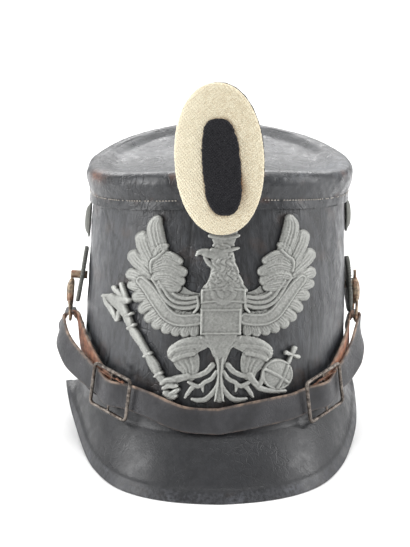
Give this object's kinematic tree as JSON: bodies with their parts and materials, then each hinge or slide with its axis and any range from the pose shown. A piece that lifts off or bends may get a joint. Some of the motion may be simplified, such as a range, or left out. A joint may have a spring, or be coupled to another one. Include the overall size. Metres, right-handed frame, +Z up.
{
  "type": "shako hat",
  "caption": "Oval leather shako with a stitched cap, front and rear peaks, a buckled chin strap, an oval field badge and a pierced eagle plate.",
  "frame": {"origin": "centre of the hat's bounding box on the surface that its two peaks stand on", "axes": "+Z up, -Y towards the front with the eagle plate, +X towards the wearer's left, which is the viewer's right"},
  "size_m": [0.1924, 0.257, 0.2329],
  "materials": {
    "black_leather": "worn, crackled, dull gloss",
    "peak_leather": "worn, smooth, dull gloss",
    "strap_leather": "worn, tan at the edges",
    "grey_metal": "matte grey cast metal",
    "dark_wire": "dark, bright where worn",
    "worn_brass": "dull brown brass",
    "cream_cloth": "woven cord",
    "black_cloth": "woven cloth",
    "dark_board": "thin dark backing"
  },
  "bodies": {
    "root": {"badge_board": "dark_board", "badge_body": "cream_cloth", "badge_centre": "black_cloth", "badge_post": "dark_wire", "buckle_left": "dark_wire", "buckle_right": "dark_wire", "chin_strap": "strap_leather", "cockade_left": "grey_metal", "cockade_right": "grey_metal", "crown": "black_leather", "eagle_plate": "grey_metal", "front_peak": "peak_leather", "lug_left": "worn_brass", "lug_right": "worn_brass", "rear_peak": "peak_leather", "top_cap": "black_leather", "vent_left": "grey_metal", "vent_right": "grey_metal"}
  },
  "joints": []
}
